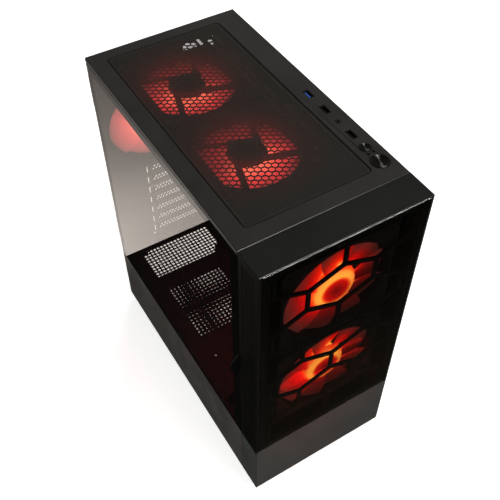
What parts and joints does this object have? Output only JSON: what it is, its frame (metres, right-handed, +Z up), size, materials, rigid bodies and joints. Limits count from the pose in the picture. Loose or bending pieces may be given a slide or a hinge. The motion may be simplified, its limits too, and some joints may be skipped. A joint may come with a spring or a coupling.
{
  "type": "desktop computer tower case",
  "caption": "Compact tower computer case with smoked side and front glass, honeycomb front and roof, mesh top filter, lit cooling fans, top ports and hinged glass door.",
  "frame": {"origin": "bottom centre of the whole box, on the surface that the feet stand on", "axes": "+Z up, front towards -Y, glass side towards -X"},
  "size_m": [0.217, 0.4032, 0.4689],
  "materials": {
    "steel_black": "fine satin black paint on steel sheet",
    "paint_black": "fine textured black powder coat",
    "vent_mesh": "satin black perforated sheet",
    "screw_black": "black zinc",
    "screw_zinc": "bright zinc",
    "brass": "turned brass",
    "copper": "wound coil",
    "plastic_black": "matt moulded",
    "plastic_front": "fine grained moulding",
    "fan_plastic": "satin moulded",
    "rotor_lit": "frosted translucent, lit red from the hub",
    "rubber": "matt",
    "strap_black": "woven strap",
    "glass_smoke": "tinted tempered glass",
    "glass_dark": "dark tinted tempered glass",
    "filter_black": "fine woven filter",
    "board": "solder mask",
    "port_steel": "dark plated shell",
    "port_blue": "moulded",
    "button_metal": "spun dark metal",
    "light_clear": "smoked clear"
  },
  "bodies": {
    "chassis": {"rear_panel": "steel_black", "bottom_panel": "steel_black", "front_wall": "steel_black", "chassis_top": "steel_black", "motherboard_tray": "steel_black", "psu_shroud": "steel_black", "drive_cage": "steel_black", "slot_covers": "steel_black", "slot_shelf": "steel_black", "door_hinges": "steel_black", "port_posts": "steel_black", "top_cover": "paint_black", "left_skirt": "paint_black", "fan_screws": "screw_black", "slot_screws": "screw_zinc", "io_screws": "screw_zinc", "rivets": "screw_zinc", "standoffs": "brass", "fan_bushes": "brass", "fan_stators": "copper", "feet": "plastic_black", "filter_rails": "plastic_black", "button_switches": "plastic_black", "audio_jack": "plastic_black", "top_fan_rear_frame": "fan_plastic", "top_fan_front_frame": "fan_plastic", "rear_fan_frame": "fan_plastic", "front_fan_upper_frame": "fan_plastic", "front_fan_lower_frame": "fan_plastic", "foot_pads": "rubber", "io_board": "board", "fan_led_boards": "board", "usb3_socket": "port_steel", "usb2_sockets": "port_steel", "usb3_tongue": "port_blue", "light_pipes": "light_clear"},
    "top_fan_rear_rotor": {"top_fan_rear_rotor": "rotor_lit"},
    "top_fan_front_rotor": {"top_fan_front_rotor": "rotor_lit"},
    "rear_fan_rotor": {"rear_fan_rotor": "rotor_lit"},
    "front_fan_upper_rotor": {"front_fan_upper_rotor": "rotor_lit"},
    "front_fan_lower_rotor": {"front_fan_lower_rotor": "rotor_lit"},
    "power_button": {"power_button": "button_metal"},
    "reset_button": {"reset_button": "button_metal"},
    "glass_door": {"side_glass": "glass_smoke", "side_glass_frame": "steel_black", "glass_pull_strap": "strap_black"},
    "right_panel": {"right_side_panel": "paint_black"},
    "right_thumbscrew_upper": {"right_thumbscrew_upper": "screw_black"},
    "right_thumbscrew_lower": {"right_thumbscrew_lower": "screw_black"},
    "front_panel": {"front_frame": "plastic_front", "front_glass": "glass_dark", "front_grille": "plastic_front", "front_vents": "vent_mesh", "front_pegs": "plastic_black"},
    "top_filter": {"filter_frame": "filter_black", "filter_mesh": "filter_black"},
    "bottom_filter": {"psu_filter": "filter_black", "psu_filter_mesh": "filter_black"}
  },
  "joints": [
    {"name": "top_fan_rear_spin", "type": "hinge", "parent": "chassis", "child": "top_fan_rear_rotor", "pos_m": [-0.01345, 0.0903, 0.452], "axis": [0, 0, 1], "continuous": true},
    {"name": "top_fan_front_spin", "type": "hinge", "parent": "chassis", "child": "top_fan_front_rotor", "pos_m": [-0.01345, -0.0442, 0.452], "axis": [0, 0, 1], "continuous": true},
    {"name": "rear_fan_spin", "type": "hinge", "parent": "chassis", "child": "rear_fan_rotor", "pos_m": [-0.03195, 0.1759, 0.3635], "axis": [0, 1, 0], "continuous": true},
    {"name": "front_fan_upper_spin", "type": "hinge", "parent": "chassis", "child": "front_fan_upper_rotor", "pos_m": [0.00605, -0.1791, 0.371], "axis": [0, 1, 0], "continuous": true},
    {"name": "front_fan_lower_spin", "type": "hinge", "parent": "chassis", "child": "front_fan_lower_rotor", "pos_m": [0.00605, -0.1791, 0.223], "axis": [0, 1, 0], "continuous": true},
    {"name": "power_press", "type": "slide", "parent": "chassis", "child": "power_button", "axis": [0, 0, -1], "range_m": [0, 0.001], "stiffness_N_per_m": 1500},
    {"name": "reset_press", "type": "slide", "parent": "chassis", "child": "reset_button", "axis": [0, 0, -1], "range_m": [0, 0.001], "stiffness_N_per_m": 1500},
    {"name": "glass_door_swing", "type": "hinge", "parent": "chassis", "child": "glass_door", "pos_m": [-0.09195, 0.1974, 0.293], "axis": [0, 0, -1], "range_deg": [0, 120]},
    {"name": "right_panel_slide", "type": "slide", "parent": "chassis", "child": "right_panel", "axis": [0, 1, 0], "range_m": [0, 0.36]},
    {"name": "right_thumbscrew_upper_turn", "type": "hinge", "parent": "right_panel", "child": "right_thumbscrew_upper", "pos_m": [0.09705, 0.1974, 0.429], "axis": [0, 1, 0], "continuous": true},
    {"name": "right_thumbscrew_lower_turn", "type": "hinge", "parent": "right_panel", "child": "right_thumbscrew_lower", "pos_m": [0.09705, 0.1974, 0.183], "axis": [0, 1, 0], "continuous": true},
    {"name": "front_panel_pull", "type": "slide", "parent": "chassis", "child": "front_panel", "axis": [0, -1, 0], "range_m": [0, 0.06]},
    {"name": "top_filter_lift", "type": "slide", "parent": "chassis", "child": "top_filter", "axis": [0, 0, 1], "range_m": [0, 0.05]},
    {"name": "bottom_filter_slide", "type": "slide", "parent": "chassis", "child": "bottom_filter", "axis": [0, 1, 0], "range_m": [0, 0.19]}
  ]
}
